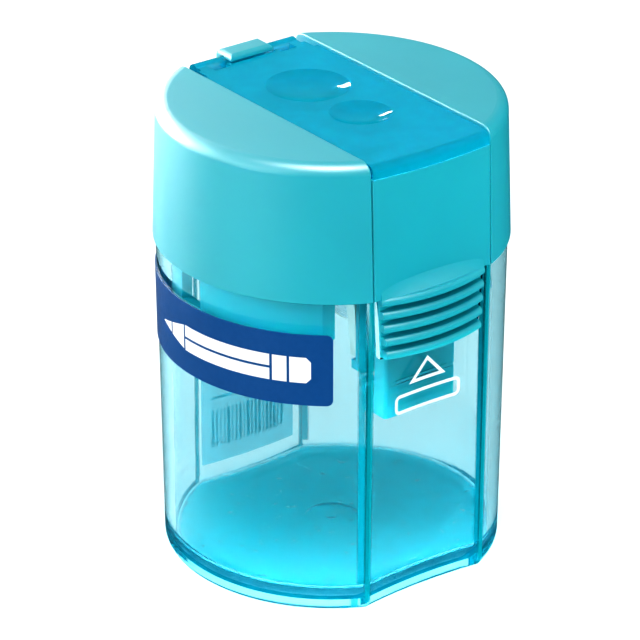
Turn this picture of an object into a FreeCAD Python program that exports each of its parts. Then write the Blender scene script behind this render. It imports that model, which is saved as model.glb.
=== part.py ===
"""Pencil sharpener with two pencil holes and a see-through shavings tub.

Frame: millimetres, +Z up. The origin is the centre of the tub's underside. -Y is the front, where the ribbed
press tongue is, and +Y is the back, where the lid hinges. The pencils go in along -Z.

The tub is a tapered can with a shallow scoop down its front and its back. The head plugs into it: a cap shell,
a carrier that holds the two-hole metal wedge with its blades and screws, a sprung tongue that forms the head's
front wall, and a clear lid that lies in a channel across the top.
"""

import FreeCAD
import Part

import math
import os

V = FreeCAD.Vector
UP = V(0, 0, 1)

# Overall form
overall_height = 60.0
FAR = 2 * overall_height      # reach of a cutting tool past the part
head_height = 17.7            # from the seam over the tub's shoulder to the top of the cap
seam_gap = 0.1                # each side of the seam keeps this far from its middle
cap_bottom_radius = 22.0
cap_taper = 0.6               # the cap's radius shrinks by this towards its top
shoulder_step = 0.35          # the tub's shoulder lies this far inside the cap's lower edge
tub_taper = 0.55              # the tub's radius shrinks by this towards its foot
strip_half_width = 8.9        # half width of the front and back panels and of the lid's channel

# Bow of the front and back panels: positive bulges, negative is a scoop
scoop = -0.6                  # tub, and the foot of the cap's panels
crown = 0.8                   # front panel at the top of the cap
back_top_bow = 0.0

# Tub
tub_wall = 1.4
floor_z = 2.6                 # the floor's top
foot_recess = 0.9             # depth of the ring groove in the underside
foot_rim_width = 2.6
foot_groove_width = 1.6
foot_round = 1.4
floor_round = 1.0
rim_height = 4.2
rim_wall = 0.75
rim_clearance = 0.15          # between the tub's rim and the cap's skirt
gate_recess_radius = 3.3
gate_recess_depth = 0.25
gate_nub_radius = 0.6

# Labels
label_thickness = 0.12
label_gap = 0.05
side_label_below_seam = 4.1
side_label_height = 9.45
side_label_margin = 12.4      # degrees from the label's ends to the panels' corners
side_label_corner = 0.8
back_label_low = 4.2
back_label_below_seam = 1.1
back_label_margin = 1.5       # from the label's sides to the panel's corners

# Cap shell
cap_wall = 1.2
deck_thickness = 1.3
rim_round = 1.5
web_thickness = 1.2
channel_ease = 0.03           # the channel is this much wider, each side, than the panels' corners
edge_round = 0.15             # along the channel's edges and the tongue's sides

# Lid
lid_drop = 0.35               # lid's top below the cap's top
lid_thickness = 1.35
lid_side_clearance = 0.15
lip_depth = 2.0               # the lip's lower edge below the cap's top
lip_thickness = 1.3
lip_round = 1.0
plug_depth = 1.0
plug_clearance = 0.5
dimple_depth = 0.8
hinge_rod_radius = 0.9
hinge_bore_clearance = 0.08
hinge_setback = 1.46          # from the cap's back panel to the rod's axis
hinge_arm_width = 1.4
hinge_rod_setback = 1.2       # from the rod's ends to the channel's sides
hook_half_width = 3.2
hook_rise = 0.5               # the hook's top above the cap's top
window_clearance = 0.2
lid_window_length = 1.7       # openings through the lid in front of the hinge rod
lid_window_gap = 0.45         # from each opening's front edge band to the hook's notch
lid_step = 0.6                # the lid is narrower by this each side, at the hinge
lid_step_length = 3.6         # of the narrower part, in front of the rod's axis

# Carrier
platform_drop = 2.0           # the lid channel's floor below the cap's top
platform_thickness = 1.4
disc_thickness = 1.2
disc_setback = 2.36           # from the front panel's corners back to the disc's front edge
floor_setback = 1.66          # and to the channel floor's front edge
carrier_clearance = 0.15
collar_wall = 1.1
collar_length = 5.8           # below the seam
collar_front_gap = 4.5        # from the front panel's corners back to the collar's front ends
slot_width = 3.7              # slots through each side of the collar
slot_first_y = 1.0
slot_pitch = 6.75
slot_count = 2
slot_rise = 1.7               # the slots' tops above the seam
pocket_wall = 1.3
pocket_clearance = 0.1
pocket_foot_drop = 1.3        # the pocket's foot below the block's underside
funnel_depth = 1.0

# Two-hole metal wedge
small_bore_radius = 4.1
large_bore_radius = 5.5
small_half_angle = 11.5
large_half_angle = 15.0
small_bore_y = -5.7
large_bore_y = 4.8
guide_length = 3.2            # straight part of each hole, above its cone
block_height = 24.3
block_half_thickness = 7.1
cheek_thickness = 1.5
cheek_lean = 2.0              # how far a cheek's edge leans in, top to bottom
cut_depth = 0.25              # the blade seat lies this far inside the cone
flange_height = 3.6
grip_radius = 4.0             # hollow across the block's plain side
grip_depth = 1.4
grip_rise = 10.0              # of its axis above the block's foot

# Blades and their screws
blade_width = 7.0
blade_length = 20.0
blade_thickness = 0.5
blade_bevel = 0.9
screw_radius = 1.2
screw_clearance = 0.05
screw_head_radius = 2.1
screw_head_height = 1.1
screw_slot_width = 0.5
screw_slot_depth = 0.55
screw_length = 3.8
screw_from_edge = 4.2
screw_drop = 13.3             # from the block's top to the screws' axes

# Press tongue
tongue_side_clearance = 0.08
tongue_wall = 1.5
pad_height = 7.9              # of the press pad, below the seam
pad_margin = 1.05             # from the pad's sides to the panel's corners, at the seam
pad_narrowing = 0.6           # each side, from the seam to the pad's foot
window_gap = 0.25             # pad to the tub's window, all round
pad_depth = 3.26              # from the front panel's corners back to the pad's root
rib_depth = 2.46
blend_depth = 1.06
rib_count = 5
rib_pitch = 1.76
rib_height = 1.0
rib_setback = 0.3             # the ribs' round front lies this far inside the cap's lower edge
first_rib_blend = 3.2         # height of the hollow curve between the top rib and the panel
blend_steps = 6
latch_margin = 3.4            # from the latch channel's sides to the panel's corners
latch_length = 17.5           # below the seam
latch_wall = 0.9
latch_depth = 2.2             # beside the pocket
latch_foot_depth = 3.8        # under the pocket
latch_step = 0.5              # from the pocket's foot down to the deeper part
latch_clearance = 0.2
detent_rise = 4.7             # above the latch channel's foot
detent_size = 0.25

joint_z = overall_height - head_height
cap_top_radius = cap_bottom_radius - cap_taper
tub_top_radius = cap_bottom_radius - shoulder_step
tub_bottom_radius = tub_top_radius - tub_taper
cap_foot_z = joint_z + seam_gap
shoulder_z = joint_z - seam_gap
platform_z = overall_height - platform_drop
disc_top_z = platform_z - platform_thickness
disc_foot_z = disc_top_z - disc_thickness
block_top_z = disc_foot_z - pocket_clearance
block_foot_z = block_top_z - block_height
screw_z = block_top_z - screw_drop
cone_z = block_top_z - guide_length
lid_top_z = overall_height - lid_drop
lid_foot_z = lid_top_z - lid_thickness
lip_foot_z = overall_height - lip_depth
hinge_z = lid_foot_z + lid_thickness / 2
hinge_rod_half_length = strip_half_width - hinge_rod_setback
side_label_high = joint_z - side_label_below_seam
side_label_low = side_label_high - side_label_height
back_label_high = joint_z - back_label_below_seam
back_label_half_width = strip_half_width - back_label_margin
collar_foot_z = joint_z - collar_length
slot_top_z = joint_z + slot_rise
pad_foot_z = joint_z - pad_height
pad_top_half_width = strip_half_width - pad_margin
pad_foot_half_width = pad_top_half_width - pad_narrowing
rib_radius = cap_bottom_radius - rib_setback
latch_half_width = strip_half_width - latch_margin
latch_foot_z = joint_z - latch_length
detent_z = latch_foot_z + detent_rise
rim_top_z = shoulder_z + rim_height


def flat_distance(radius):
    """Distance from the axis to the panel's corners, on a circle of that radius."""
    return math.sqrt(radius ** 2 - strip_half_width ** 2)


cap_front = flat_distance(cap_top_radius)      # the panels' corners at the cap's top
hinge_y = cap_front - hinge_setback
lid_step_y = hinge_y - lid_step_length
disc_front_y = disc_setback - cap_front
floor_front_y = floor_setback - cap_front
pad_root_y = pad_depth - cap_front
rib_root_y = rib_depth - cap_front
blend_root_y = blend_depth - cap_front


def panel_reach(x, half, flat_y, bow):
    """Distance of a panel from the XZ plane at x: flat_y at its corners (x = half), flat_y + bow in its middle."""
    if abs(bow) < 1e-6:
        return flat_y
    curve = (half ** 2 + bow ** 2) / (2 * abs(bow))
    return flat_y + bow - math.copysign(curve - math.sqrt(curve ** 2 - x ** 2), bow)


def panel_edge(half, flat_y, bow, side, z):
    """The panel's curve at height z, run on a little past its corners; side is -1 for the front, +1 for the back."""
    wide = half + 1.0
    end = side * panel_reach(wide, half, flat_y, bow)
    ends = [V(-wide, end, z), V(wide, end, z)]
    if abs(bow) < 1e-6:
        return Part.makeLine(*ends)
    return Part.Arc(ends[0], V(0, side * (flat_y + bow), z), ends[1]).toShape()


def slab_outline(radius, flat_y, front_bow, back_bow, z):
    """Closed wire that is wider than the can in X and ends at its two panels in Y."""
    half = math.sqrt(radius ** 2 - flat_y ** 2)
    wing = radius + 5.0
    front = panel_edge(half, flat_y, front_bow, -1, z)
    back = panel_edge(half, flat_y, back_bow, 1, z)
    ends = [edge.Vertexes[i].Point for edge in (front, back) for i in (0, 1)]
    front_y, back_y = ends[0].y, ends[2].y
    reach = half + 1.0
    return Part.Wire([
        front,
        Part.makeLine(V(reach, front_y, z), V(wing, front_y, z)),
        Part.makeLine(V(wing, front_y, z), V(wing, back_y, z)),
        Part.makeLine(V(wing, back_y, z), V(reach, back_y, z)),
        back,
        Part.makeLine(V(-reach, back_y, z), V(-wing, back_y, z)),
        Part.makeLine(V(-wing, back_y, z), V(-wing, front_y, z)),
        Part.makeLine(V(-wing, front_y, z), V(-reach, front_y, z)),
    ])


def can(lower, upper, top_round=0):
    """Cone between two heights, cut by a front and a back panel; each end is (radius, flat_y, bows, z)."""
    slab = Part.makeLoft([slab_outline(*lower), slab_outline(*upper)], True, True)
    height = upper[4] - lower[4]
    if abs(lower[0] - upper[0]) < 1e-6:
        round_form = Part.makeCylinder(lower[0], height, V(0, 0, lower[4]), UP)
    else:
        round_form = Part.makeCone(lower[0], upper[0], height, V(0, 0, lower[4]), UP)
    if top_round:
        round_form = round_form.makeFillet(top_round, edges_at(round_form, upper[4]))
    return round_form.common(slab)


def block(x0, x1, y0, y1, z0, z1):
    return Part.makeBox(x1 - x0, y1 - y0, z1 - z0, V(x0, y0, z0))


def post(radius, y, z0, z1):
    return Part.makeCylinder(radius, z1 - z0, V(0, y, z0), UP)


def across(radius, y, z, half_length):
    """Cylinder along X, centred on x = 0."""
    return Part.makeCylinder(radius, 2 * half_length, V(-half_length, y, z), V(1, 0, 0))


def between(low, high, share):
    return low + (high - low) * share


def tub_radius(z):
    return between(tub_bottom_radius, tub_top_radius, z / shoulder_z)


def cap_radius(z):
    return between(cap_bottom_radius, cap_top_radius, (z - cap_foot_z) / (overall_height - cap_foot_z))


def cap_bows(z):
    """Front and back bow of the cap's panels at height z."""
    share = (z - cap_foot_z) / (overall_height - cap_foot_z)
    return between(scoop, crown, share), between(scoop, back_top_bow, share)


def cap_form(inset, z0, z1, bows=None, top_round=0):
    """The cap's outer form, shrunk by inset, between two heights, with its own bows or the ones given."""
    ends = []
    for z in (z0, z1):
        radius = cap_radius(z)
        ends.append((radius - inset, flat_distance(radius) - inset, *(bows or cap_bows(z)), z))
    return can(*ends, top_round)


def tub_form(inset, z0, z1):
    """The tub's outer form, shrunk by inset, between two heights."""
    ends = []
    for z in (z0, z1):
        radius = tub_radius(z)
        ends.append((radius - inset, flat_distance(radius) - inset, scoop, scoop, z))
    return can(*ends)


def edges_at(shape, z, reach=0.01):
    return [e for e in shape.Edges if abs(e.BoundBox.ZMin - z) < reach and abs(e.BoundBox.ZMax - z) < reach]


def upright_edges(shape):
    return [e for e in shape.Edges if e.BoundBox.ZLength > 0.5 * shape.BoundBox.ZLength]


def tub():
    """Clear can with a stepped rim, a window in its front for the press pad and a gate mark on its floor."""
    body = tub_form(0, 0, shoulder_z)
    body = body.makeFillet(foot_round, edges_at(body, 0))
    skirt_inset = cap_wall + rim_clearance
    rim = can(
        (cap_bottom_radius - skirt_inset, flat_distance(cap_bottom_radius) - skirt_inset, scoop, scoop,
         shoulder_z - 1),
        (cap_radius(rim_top_z) - skirt_inset, flat_distance(cap_radius(rim_top_z)) - skirt_inset,
         *cap_bows(rim_top_z), rim_top_z),
    )
    cavity_top = rim_top_z + 1
    cavity = can((*cavity_side(floor_z), scoop, scoop, floor_z), (*cavity_side(cavity_top), scoop, scoop, cavity_top))
    cavity = cavity.makeFillet(floor_round, edges_at(cavity, floor_z))
    body = body.fuse(rim).cut(cavity)
    low = pad_foot_z - window_gap
    slope = (pad_top_half_width - pad_foot_half_width) / (joint_z - pad_foot_z)
    low_half = pad_foot_half_width + window_gap - slope * window_gap
    high_half = pad_top_half_width + window_gap
    window = prism_xz([(-low_half, low), (low_half, low), (high_half, shoulder_z), (-high_half, shoulder_z)],
                      -FAR, 0)
    rim_half = strip_half_width + 0.4
    rim_gap = block(-rim_half, rim_half, -FAR, 0, shoulder_z, FAR)
    groove = tub_form(foot_rim_width, -1, foot_recess).cut(tub_form(foot_rim_width + foot_groove_width, -2, floor_z))
    recess = post(gate_recess_radius, 0, floor_z - gate_recess_depth, floor_z + 1)
    nub = post(gate_nub_radius, 0, floor_z - 2 * gate_recess_depth, floor_z)
    detent = block(-latch_half_width, latch_half_width, -FAR, inner_front_y(detent_z) + detent_size,
                   detent_z - detent_size, detent_z + detent_size)
    detent = detent.cut(block(-FAR, FAR, -FAR, inner_front_y(detent_z) - detent_size, 0, FAR))
    return body.cut(window).cut(rim_gap).cut(groove).cut(recess).fuse(nub).cut(detent)


def cavity_side(z):
    """Radius and panel distance of the tub's inside at height z."""
    share = (z - floor_z) / (rim_top_z + 1 - floor_z)
    rim_radius = cap_radius(rim_top_z)
    inset = cap_wall + rim_clearance + rim_wall
    radius = between(tub_bottom_radius - tub_wall, rim_radius - inset, share)
    flat_y = between(flat_distance(tub_bottom_radius) - tub_wall, flat_distance(rim_radius) - inset, share)
    return radius, flat_y


def inner_front_y(z):
    """Where the inside of the tub's front panel comes nearest the axis, at height z."""
    return -(cavity_side(z)[1] + scoop)


def prism_xz(points, y0, y1):
    """Polygon in XZ, carried from y0 to y1."""
    face = Part.Face(Part.makePolygon([V(x, y0, z) for x, z in points + points[:1]]))
    return face.extrude(V(0, y1 - y0, 0))


def side_label():
    """Sticker round the tub's left side, on the tapered wall."""
    inner = label_gap
    outer = label_gap + label_thickness
    profile = []
    for z, step in ((side_label_low, inner), (side_label_low, outer), (side_label_high, outer),
                    (side_label_high, inner)):
        profile.append(V(tub_radius(z) + step, 0, z))
    face = Part.Face(Part.makePolygon(profile + profile[:1]))
    corner_angle = math.degrees(math.atan2(flat_distance(tub_top_radius), strip_half_width))
    half_angle = corner_angle - side_label_margin
    sheet = face.revolve(V(0, 0, 0), UP, 2 * half_angle)
    sheet.rotate(V(0, 0, 0), UP, 180 - half_angle)
    corners = [e for e in sheet.Edges if e.Length < 2 * label_thickness]
    return sheet.makeFillet(side_label_corner, corners)


def back_label():
    """Sticker on the scooped back panel."""
    wires = []
    for z in (back_label_low, back_label_high):
        corner_y = flat_distance(tub_radius(z))
        rows = []
        for step in (label_gap, label_gap + label_thickness):
            rows.append([V(x, panel_reach(x, strip_half_width, corner_y, scoop) + step, z)
                         for x in (-back_label_half_width, 0, back_label_half_width)])
        near, far = rows
        wires.append(Part.Wire([
            Part.Arc(*near).toShape(),
            Part.makeLine(near[2], far[2]),
            Part.Arc(far[2], far[1], far[0]).toShape(),
            Part.makeLine(far[0], near[0]),
        ]))
    return Part.makeLoft(wires, True, True)


def hinge_hook():
    """Snap hook on the cap's back wall that wraps round the lid's hinge rod and opens to the front."""
    bore = hinge_rod_radius + hinge_bore_clearance
    top = overall_height + hook_rise
    front = hinge_y - 1.7
    back = flat_distance(cap_radius(platform_z)) - 0.1
    hook = block(-hook_half_width, hook_half_width, front, back, disc_top_z - 0.4, top)
    hook = hook.makeFillet(0.6, [e for e in hook.Edges
                                 if e.BoundBox.ZLength < 0.01 and abs(e.BoundBox.ZMax - top) < 0.01])
    mouth = block(-FAR, FAR, front - 1, hinge_y, hinge_z - 0.85 * hinge_rod_radius,
                  hinge_z + 0.85 * hinge_rod_radius)
    return hook.cut(across(bore, hinge_y, hinge_z, FAR)).cut(mouth)


def cap_shell():
    """Opaque cap: skirt, two deck halves beside the lid's channel, the channel's side webs and the hinge hook."""
    form = cap_form(0, cap_foot_z, overall_height, top_round=rim_round)
    hollow = cap_form(cap_wall, cap_foot_z, overall_height - deck_thickness)
    inside = cap_form(cap_wall - 0.2, cap_foot_z, overall_height - deck_thickness + 0.2)
    half = strip_half_width + channel_ease
    skin = form.cut(block(-half, half, -FAR, FAR, platform_z, FAR)).cut(block(-half, half, -FAR, 0, 0, FAR))
    front_y = rim_round - cap_front + edge_round
    rims = []
    for edge in skin.Edges:
        box = edge.BoundBox
        beside = all(abs(abs(v.X) - half) < 0.01 for v in edge.Vertexes)
        if beside and (box.ZMin > overall_height - 0.1 or (box.YMax < front_y and box.ZLength > 1)):
            rims.append(edge)
    skin = skin.makeFillet(edge_round, rims).cut(hollow)
    for side in (-1, 1):
        x0, x1 = sorted((side * half, side * (half + web_thickness)))
        web = block(x0, x1, -FAR, FAR, disc_top_z, overall_height - deck_thickness + 0.1)
        skin = skin.fuse(web.common(inside))
    return skin.fuse(hinge_hook()).removeSplitter()


def cone_cutter(y, radius, half_angle):
    """A pencil's hole in the block: straight guide above, cone below."""
    depth = radius / math.tan(math.radians(half_angle))
    guide = post(radius, y, cone_z, block_top_z + 1)
    cone = Part.makeCone(0, radius, depth, V(0, y, cone_z - depth), UP)
    return guide.fuse(cone)


def seat_frame(y, radius, half_angle):
    """Placement of a blade seat: local X along the blade from its foot, local Y across it, local Z off the seat."""
    lean = math.radians(half_angle)
    depth = radius / math.tan(lean)
    tip = V(0, y, cone_z - depth)
    along = V(-math.sin(lean), 0, math.cos(lean))
    off = V(-math.cos(lean), 0, -math.sin(lean))
    origin = tip - off * cut_depth
    sideways = off.cross(along)
    matrix = FreeCAD.Matrix(along.x, sideways.x, off.x, origin.x,
                            along.y, sideways.y, off.y, origin.y,
                            along.z, sideways.z, off.z, origin.z,
                            0, 0, 0, 1)
    return FreeCAD.Placement(matrix)


HOLES = {
    "small": (small_bore_y, small_bore_radius, small_half_angle),
    "large": (large_bore_y, large_bore_radius, large_half_angle),
}
BLOCK_FRONT_Y = small_bore_y - small_bore_radius - 0.7 - cheek_thickness
BLOCK_BACK_Y = large_bore_y + blade_width + 0.15 + cheek_thickness
SEAT_SPLIT_Y = small_bore_y + blade_width + 0.4


def seat_span(name):
    """Lowest and highest y of a hole's blade seat."""
    if name == "small":
        return BLOCK_FRONT_Y + cheek_thickness, SEAT_SPLIT_Y
    return SEAT_SPLIT_Y, BLOCK_BACK_Y - cheek_thickness


def screw_spot(name):
    """Centre of a blade screw on its seat, in the seat's own frame."""
    y, radius, half_angle = HOLES[name]
    depth = radius / math.tan(math.radians(half_angle))
    run = (screw_z - (cone_z - depth)) / math.cos(math.radians(half_angle))
    return V(run, screw_from_edge, 0)


def sharpener_block():
    """Two-hole wedge: leaning blade seats between two cheeks, a full ring round each hole's mouth."""
    metal = block(-block_half_thickness, block_half_thickness, BLOCK_FRONT_Y, BLOCK_BACK_Y,
                  block_foot_z, block_top_z)
    flange_z = block_top_z - flange_height
    for name, (y, radius, half_angle) in HOLES.items():
        low_y, high_y = seat_span(name)
        room = Part.makeBox(FAR, high_y - low_y, FAR, V(-FAR / 2, low_y - y, 0))
        room.Placement = seat_frame(y, radius, half_angle)
        room = room.common(block(-FAR, FAR, low_y, high_y, 0, flange_z))
        metal = metal.cut(room)
    lean = prism_xz([(-block_half_thickness - 1, flange_z), (-block_half_thickness, flange_z),
                     (-block_half_thickness + cheek_lean, block_foot_z - 0.01),
                     (-block_half_thickness - 1, block_foot_z - 0.01)], -FAR, FAR)
    metal = metal.cut(lean)
    for name, (y, radius, half_angle) in HOLES.items():
        metal = metal.cut(cone_cutter(y, radius, half_angle))
        hole = Part.makeCylinder(screw_radius + screw_clearance, screw_length + 0.4, screw_spot(name), V(0, 0, -1))
        hole.Placement = seat_frame(y, radius, half_angle)
        metal = metal.cut(hole)
    grip = Part.makeCylinder(grip_radius, FAR, V(block_half_thickness + grip_radius - grip_depth, -FAR / 2,
                                                 block_foot_z + grip_rise), V(0, 1, 0))
    return metal.cut(grip)


def blade(name):
    """Flat steel blade with a bevelled cutting edge along the cone and a hole for its screw."""
    y, radius, half_angle = HOLES[name]
    spot = screw_spot(name)
    start = spot.x - 0.52 * blade_length
    section = [V(start, 0, 0), V(start, blade_bevel, blade_thickness), V(start, blade_width, blade_thickness),
               V(start, blade_width, 0)]
    plate = Part.Face(Part.makePolygon(section + section[:1])).extrude(V(blade_length, 0, 0))
    plate = plate.cut(Part.makeCylinder(screw_radius + 0.15, 4, V(spot.x, spot.y, -2), UP))
    plate.Placement = seat_frame(y, radius, half_angle)
    return plate


def blade_screw(name):
    """Slotted cheese-head screw that clamps a blade to its seat."""
    y, radius, half_angle = HOLES[name]
    spot = screw_spot(name)
    shank = Part.makeCylinder(screw_radius, screw_length + blade_thickness, spot - UP * screw_length, UP)
    under = spot + UP * blade_thickness
    head = Part.makeCylinder(screw_head_radius, screw_head_height, under, UP)
    head = head.makeFillet(0.35, [e for e in head.Edges if e.BoundBox.ZMin > under.z + screw_head_height - 0.01])
    slot = Part.makeBox(3 * screw_head_radius, screw_slot_width, FAR,
                        V(spot.x - 1.5 * screw_head_radius, spot.y - screw_slot_width / 2,
                          under.z + screw_head_height - screw_slot_depth))
    slot.rotate(spot, UP, 35 if name == "small" else -20)
    screw = shank.fuse(head).cut(slot)
    screw.Placement = seat_frame(y, radius, half_angle)
    return screw


def carrier():
    """Moulding inside the head: channel floor with two funnels, disc, collar and the pocket round the block."""
    inset = cap_wall + carrier_clearance
    disc = cap_form(inset, disc_foot_z, disc_top_z)
    disc = disc.cut(block(-FAR, FAR, -FAR, disc_front_y, 0, FAR))
    half = strip_half_width - carrier_clearance
    floor = cap_form(inset, disc_top_z, platform_z).common(block(-half, half, floor_front_y, FAR, 0, FAR))
    hook_room = block(-hook_half_width - 0.2, hook_half_width + 0.2, hinge_y - 1.9, FAR, disc_top_z - 0.6, FAR)
    rod_room = across(hinge_rod_radius + 0.2, hinge_y, hinge_z, hinge_rod_half_length + 0.2)
    body = disc.fuse(floor).fuse(collar()).fuse(pocket())
    for y, radius, half_angle in HOLES.values():
        mouth = radius + 0.2
        body = body.cut(post(mouth, y, disc_foot_z - 1, FAR))
        body = body.cut(Part.makeCone(mouth, mouth + funnel_depth * 0.7, funnel_depth + 0.1,
                                      V(0, y, platform_z - funnel_depth), UP))
    return body.cut(hook_room).cut(rod_room).removeSplitter()


def collar():
    """Skirt inside the tub's rim that centres the head; open in front, where the tongue swings."""
    radius, flat_y = cavity_side(collar_foot_z)
    walls = []
    for inset, low in ((rim_clearance, collar_foot_z), (rim_clearance + collar_wall, collar_foot_z - 1)):
        side = (radius - inset, flat_y - inset, scoop, scoop)
        walls.append(can((*side, low), (*side, disc_foot_z)))
    end_y = collar_front_gap - cap_front
    skirt = walls[0].cut(walls[1]).cut(block(-FAR, FAR, -FAR, end_y, 0, FAR))
    for number in range(slot_count):
        middle = slot_first_y + slot_pitch * number
        skirt = skirt.cut(block(-FAR, FAR, middle - slot_width / 2, middle + slot_width / 2,
                                collar_foot_z + collar_wall, slot_top_z))
    return skirt


def pocket():
    """Walls that hug the metal block, with snap lips under it; open on the blades' side below the cap."""
    gap = pocket_clearance
    x0, x1 = -block_half_thickness - gap, block_half_thickness + gap
    y0, y1 = BLOCK_FRONT_Y - gap, BLOCK_BACK_Y + gap
    foot = block_foot_z - pocket_foot_drop
    walls = block(x0 - pocket_wall, x1 + pocket_wall, y0 - pocket_wall, y1 + pocket_wall, foot, disc_foot_z)
    walls = walls.makeFillet(0.8, upright_edges(walls))
    room = block(x0, x1, y0, y1, block_foot_z - gap, FAR)
    throat = block(x0 - FAR, x1 - 1.0, y0 + 0.8, y1 - 0.8, 0, block_foot_z)
    open_side = block(-FAR, x0 + 1.6, -FAR, FAR, 0, block_top_z - flange_height)
    return walls.cut(room).cut(throat).cut(open_side)


def lid():
    """Clear lid in the channel: front lip, two dished plugs over the holes, and a hinge rod on two arms."""
    half = strip_half_width - lid_side_clearance
    form = cap_form(0.05, lip_foot_z, overall_height).common(
        block(-half, half, -FAR, hinge_y - 1.6, lip_foot_z, lid_top_z))
    nose = [e for e in form.Edges
            if e.BoundBox.YMax < -cap_front / 2 and e.BoundBox.ZMin > lid_top_z - 0.01 and e.BoundBox.XLength > half]
    form = form.makeFillet(lip_round, nose)
    under = cap_form(lip_thickness, lip_foot_z - 1, lid_foot_z)
    plate = form.cut(under)
    for side in (-1, 1):
        x1 = side * (hinge_rod_half_length - 0.05)
        x0 = side * (hinge_rod_half_length - hinge_arm_width)
        plate = plate.fuse(block(min(x0, x1), max(x0, x1), hinge_y - 1.8, hinge_y, lid_foot_z, lid_top_z))
    plate = plate.fuse(across(hinge_rod_radius, hinge_y, hinge_z, hinge_rod_half_length))
    rear = hinge_y - hinge_rod_radius
    notch = hook_half_width + window_clearance
    plate = plate.cut(block(-notch, notch, hinge_y - 2.1, rear, 0, FAR))
    arm_inner = hinge_rod_half_length - hinge_arm_width
    for side in (-1, 1):
        x0, x1 = sorted((side * (notch + lid_window_gap), side * arm_inner))
        plate = plate.cut(block(x0, x1, rear - lid_window_length, rear, 0, FAR))
        x0, x1 = sorted((side * (half - lid_step), side * FAR))
        plate = plate.cut(block(x0, x1, lid_step_y, FAR, 0, FAR))
    for y, radius, half_angle in HOLES.values():
        plug = radius + 0.2 - plug_clearance
        plate = plate.fuse(post(plug, y, lid_foot_z - plug_depth, lid_foot_z + 0.1))
        ball = (plug ** 2 + dimple_depth ** 2) / (2 * dimple_depth)
        plate = plate.cut(Part.makeSphere(ball, V(0, y, lid_top_z - dimple_depth + ball), V(1, 0, 0)))
    return plate.removeSplitter()


def press_rib(number):
    """One grip rib of the press pad: a crescent between the scooped pad and a round front edge."""
    low = pad_foot_z + rib_pitch * (rib_count - 1 - number)
    share = (low - pad_foot_z) / (rib_pitch * (rib_count - 1))
    half = between(pad_foot_half_width, pad_top_half_width, share) - 0.05
    root = -rib_root_y - 0.5
    profile = [V(root, 0, low), V(rib_radius - 0.2, 0, low), V(rib_radius, 0, low + 0.2),
               V(rib_radius, 0, low + 0.55 * rib_height)]
    top = V(rib_radius - 0.6, 0, low + rib_height)
    bend = V(rib_radius - 0.15, 0, low + 0.87 * rib_height)
    corner = V(root, 0, top.z)
    edges = [Part.makeLine(profile[i], profile[i + 1]) for i in range(3)]
    edges.append(Part.Arc(profile[3], bend, top).toShape())
    edges.append(Part.makeLine(top, corner))
    edges.append(Part.makeLine(corner, profile[0]))
    ring = Part.Face(Part.Wire(edges)).revolve(V(0, 0, 0), UP, 360)
    return ring.common(block(-half, half, -FAR, rib_root_y, 0, FAR))


def rib_blend():
    """Hollow curve that carries the front panel down and out into the top rib."""
    low = pad_foot_z + rib_pitch * (rib_count - 1) + 0.5 * rib_height
    half = pad_top_half_width - 0.05
    wires = []
    for step in range(blend_steps + 1):
        share = step / blend_steps
        z = low + first_rib_blend * share
        radius = cap_radius(max(z, cap_foot_z))
        bow = cap_bows(max(z, cap_foot_z))[0]
        pull = (1 - share) ** 2.6
        sink = 0.25 * share
        points = []
        for x in (-half, 0, half):
            panel = panel_reach(x, strip_half_width, flat_distance(radius), bow) - sink
            rib = math.sqrt((rib_radius - 0.03) ** 2 - x ** 2)
            points.append(V(x, -between(panel, rib, pull), z))
        wires.append(Part.Wire([
            Part.Arc(*points).toShape(),
            Part.makeLine(points[2], V(half, blend_root_y, z)),
            Part.makeLine(V(half, blend_root_y, z), V(-half, blend_root_y, z)),
            Part.makeLine(V(-half, blend_root_y, z), points[0]),
        ]))
    return Part.makeLoft(wires, True, False)


def press_tongue():
    """Sprung front wall of the head: panel, ribbed pad through the tub's window and latch channel behind it."""
    half = strip_half_width - tongue_side_clearance
    panel = cap_form(0, cap_foot_z, lip_foot_z - 0.1).common(block(-half, half, -FAR, -cap_front / 2, 0, FAR))
    sides = [e for e in upright_edges(panel) if e.BoundBox.YMax < -cap_front + edge_round]
    panel = panel.makeFillet(edge_round, sides)
    panel = panel.cut(cap_form(tongue_wall, cap_foot_z - 1, overall_height))
    pad = prism_xz([(-pad_foot_half_width, pad_foot_z), (pad_foot_half_width, pad_foot_z),
                    (pad_top_half_width, joint_z + 1), (-pad_top_half_width, joint_z + 1)], -FAR, pad_root_y)
    pad = pad.common(tub_form(-0.02, pad_foot_z - 1, joint_z + 2))
    body = panel.fuse(pad)
    for number in range(rib_count):
        body = body.fuse(press_rib(number))
    body = body.fuse(rib_blend())
    front = inner_front_y(latch_foot_z) + latch_clearance
    step_z = block_foot_z - pocket_foot_drop - latch_step
    channel = block(-latch_half_width, latch_half_width, front, front + latch_depth, latch_foot_z, joint_z)
    channel = channel.fuse(block(-latch_half_width, latch_half_width, front, front + latch_foot_depth,
                                 latch_foot_z, step_z)).removeSplitter()
    channel = channel.makeFillet(0.5, [e for e in upright_edges(channel) if e.BoundBox.YMax < front + 0.01])
    channel = channel.cut(block(latch_wall - latch_half_width, latch_half_width - latch_wall,
                                front + latch_wall, FAR, 0, FAR))
    bead = across(latch_clearance * 0.75, front, detent_z, latch_half_width - 1.5)
    body = body.fuse(channel).fuse(bead)
    return body.removeSplitter()


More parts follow.
